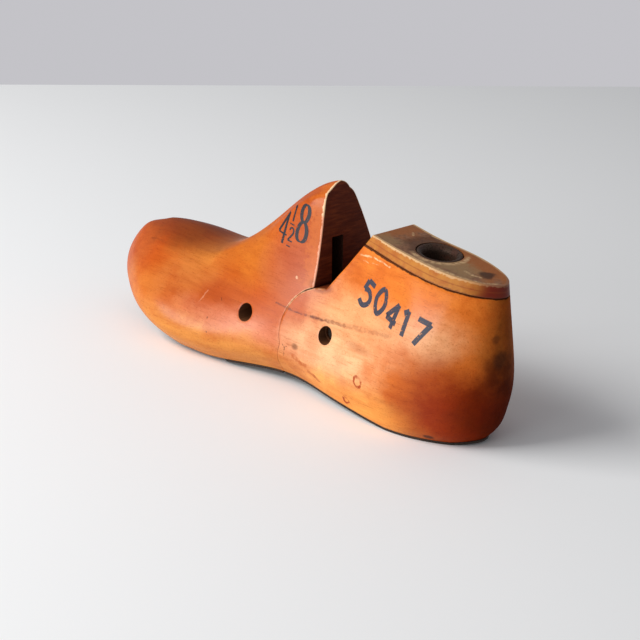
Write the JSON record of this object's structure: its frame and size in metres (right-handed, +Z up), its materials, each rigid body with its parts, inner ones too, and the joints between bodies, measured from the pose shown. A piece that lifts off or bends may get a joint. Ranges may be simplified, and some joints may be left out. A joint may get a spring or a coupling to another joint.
{
  "type": "shoe last",
  "caption": "Hinged wooden shoe last for a right foot, with a spring link, steel sole plates, a top piece and a steel thimble for a lasting jack.",
  "frame": {"origin": "on the floor, under the middle of the bounding box", "axes": "+Z up from the floor that the last stands on, -X towards the toe, +X towards the heel, -Y on the inner side of the foot"},
  "size_m": [0.22, 0.0768, 0.0897],
  "materials": {
    "fore_wood": "worn orange shellac on maple",
    "heel_wood": "worn orange shellac on maple",
    "top_leather": "hard, scuffed and grimy",
    "thimble_steel": "dark, rusted",
    "pin_steel": "dull",
    "link_steel": "oiled, dull",
    "plate_steel": "worn sheet steel",
    "nail_steel": "dark, worn"
  },
  "bodies": {
    "front_block": {"forepart": "fore_wood", "front_pin": "pin_steel", "spring_seat": "link_steel", "sole_plate": "plate_steel", "sole_nail_1": "nail_steel", "sole_nail_2": "nail_steel", "sole_nail_3": "nail_steel", "sole_nail_4": "nail_steel", "sole_nail_5": "nail_steel", "sole_nail_6": "nail_steel"},
    "spring_link": {"hinge_link": "link_steel", "link_spring": "link_steel"},
    "heel_block": {"heel_part": "heel_wood", "top_plate": "top_leather", "thimble": "thimble_steel", "top_nail": "nail_steel", "rear_pin": "pin_steel", "heel_plate": "plate_steel", "heel_nail_1": "nail_steel", "heel_nail_2": "nail_steel", "heel_nail_3": "nail_steel", "heel_nail_4": "nail_steel", "heel_nail_5": "nail_steel"}
  },
  "joints": [
    {"name": "link_draw", "type": "slide", "parent": "front_block", "child": "spring_link", "axis": [0.9977, 0, 0.068], "range_m": [0, 0.002], "stiffness_N_per_m": 4000, "springref_m": -0.003, "deforming": ["link_spring"]},
    {"name": "heel_swing", "type": "hinge", "parent": "spring_link", "child": "heel_block", "pos_m": [0.0346, 0.00132, 0.0308], "axis": [0, -1, 0], "range_deg": [0, 26]}
  ]
}
